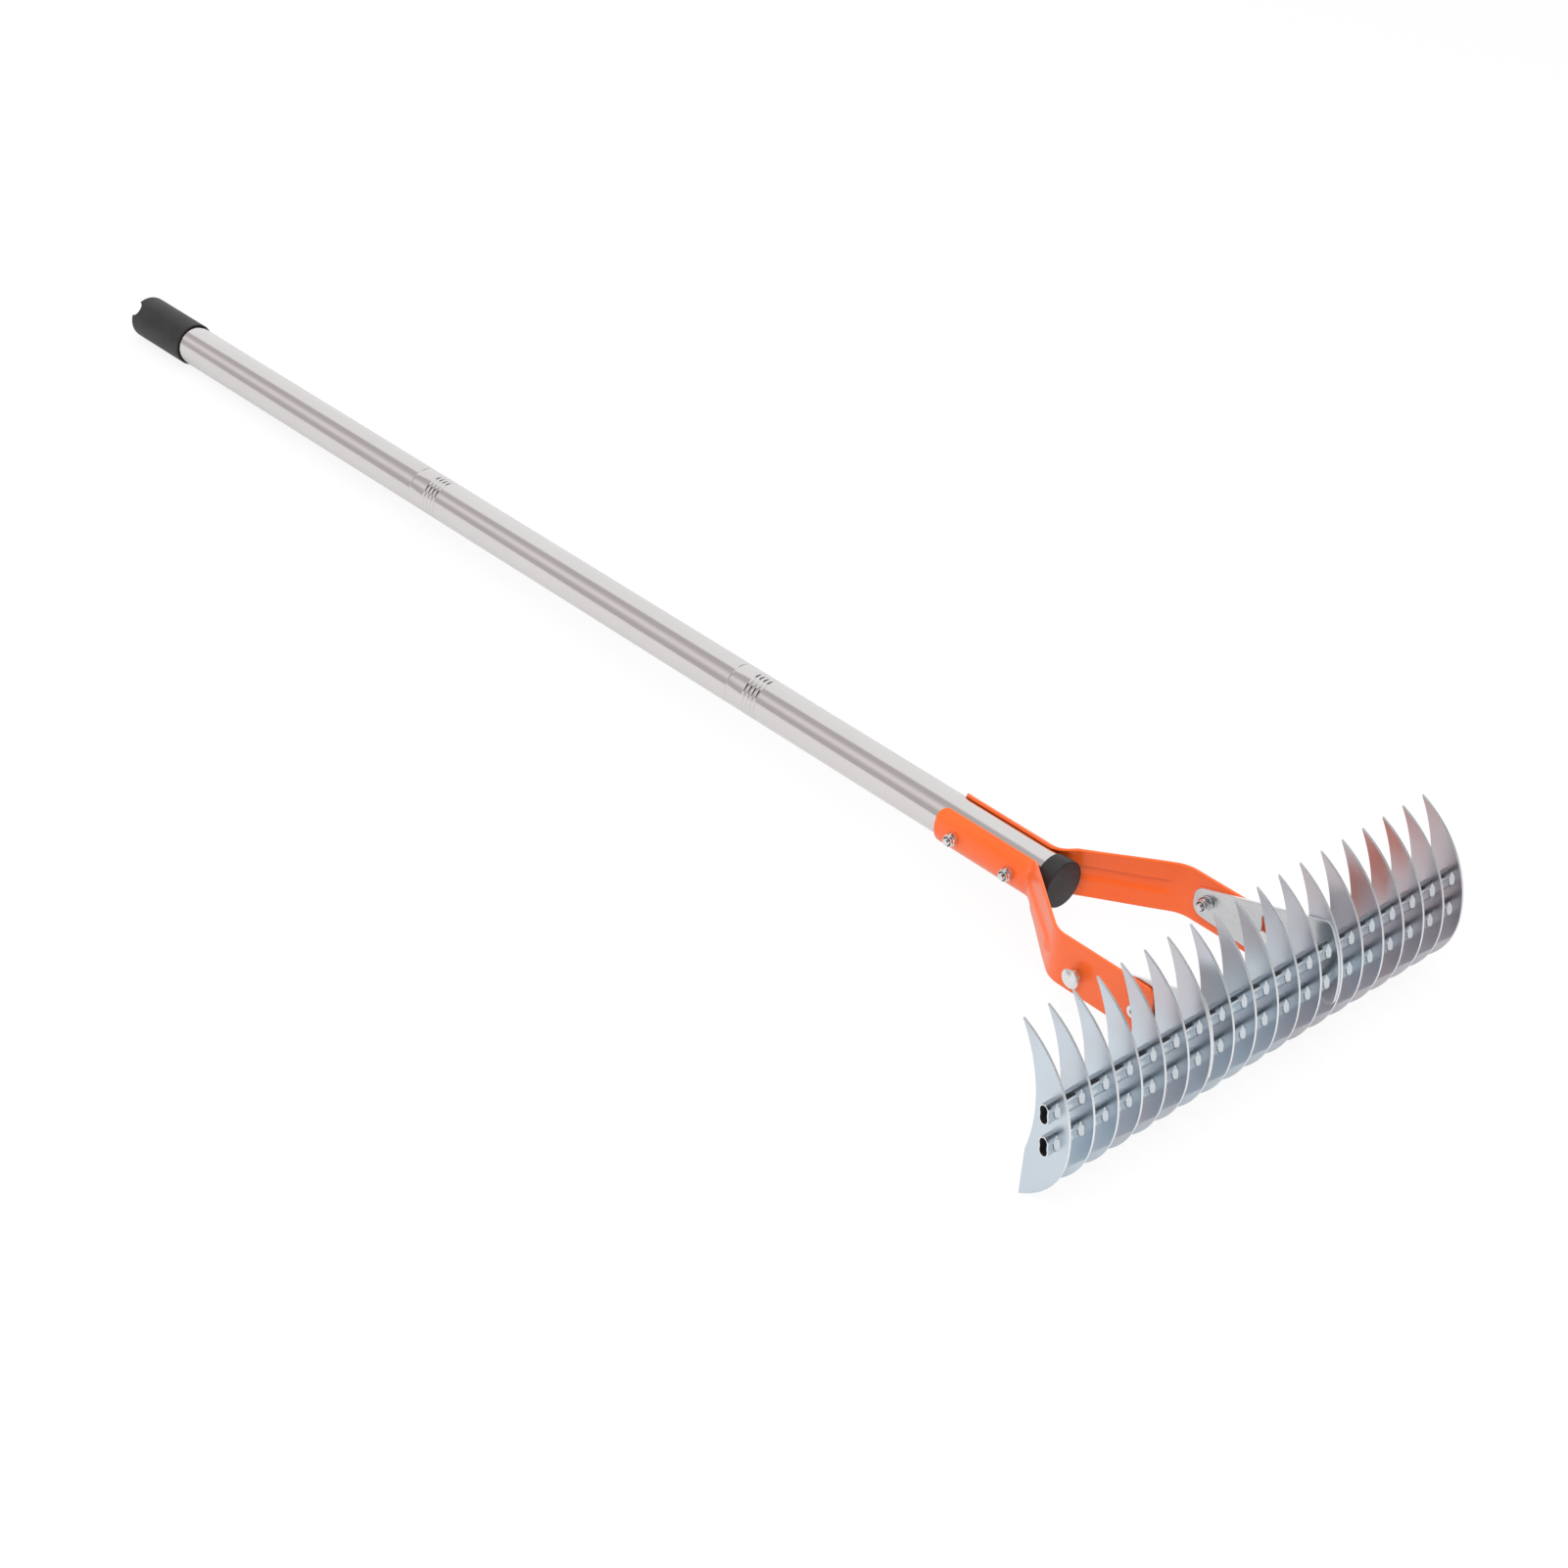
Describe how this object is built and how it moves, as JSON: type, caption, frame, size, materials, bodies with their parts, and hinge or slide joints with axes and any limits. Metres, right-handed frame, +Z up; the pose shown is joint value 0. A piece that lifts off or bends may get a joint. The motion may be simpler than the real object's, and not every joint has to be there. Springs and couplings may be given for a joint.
{
  "type": "thatch rake",
  "caption": "Thatch rake with crescent blades threaded on two crossbars, a head that pivots between two pressed arms, and a jointed tube handle with a notched end cap.",
  "frame": {"origin": "on the floor, under the middle of the overall length and width, with the rake resting on its blade heels and end cap", "axes": "+Y from the head towards the end cap, +X across the blades to the right seen from behind the head, +Z up"},
  "size_m": [0.3996, 1.225, 0.1219],
  "materials": {
    "stainless_tube": "polished",
    "zinc_steel": "zinc plated",
    "orange_paint": "gloss powder coat",
    "black_plastic": "matte"
  },
  "bodies": {
    "handle": {"handle_tube_lower": "stainless_tube", "handle_tube_middle": "stainless_tube", "handle_tube_upper": "stainless_tube", "joint_insert_lower": "black_plastic", "joint_insert_upper": "black_plastic", "tube_plug": "black_plastic", "end_cap": "black_plastic", "left_arm": "orange_paint", "right_arm": "orange_paint", "clamp_bolts": "zinc_steel", "clamp_nuts": "zinc_steel", "pivot_bolts": "zinc_steel", "pivot_washers": "zinc_steel", "pivot_nuts": "zinc_steel", "stop_rivets": "zinc_steel"},
    "head": {"left_bracket": "zinc_steel", "right_bracket": "zinc_steel", "upper_crossbar": "zinc_steel", "lower_crossbar": "zinc_steel", "blade_01": "zinc_steel", "blade_02": "zinc_steel", "blade_03": "zinc_steel", "blade_04": "zinc_steel", "blade_05": "zinc_steel", "blade_06": "zinc_steel", "blade_07": "zinc_steel", "blade_08": "zinc_steel", "blade_09": "zinc_steel", "blade_10": "zinc_steel", "blade_11": "zinc_steel", "blade_12": "zinc_steel", "blade_13": "zinc_steel", "blade_14": "zinc_steel", "blade_15": "zinc_steel", "blade_16": "zinc_steel", "blade_17": "zinc_steel", "blade_18": "zinc_steel", "blade_19": "zinc_steel"}
  },
  "joints": [
    {"name": "head_pivot", "type": "hinge", "parent": "handle", "child": "head", "pos_m": [0, -0.50426, 0.05584], "axis": [1, 0, 0], "range_deg": [0, 15]}
  ]
}
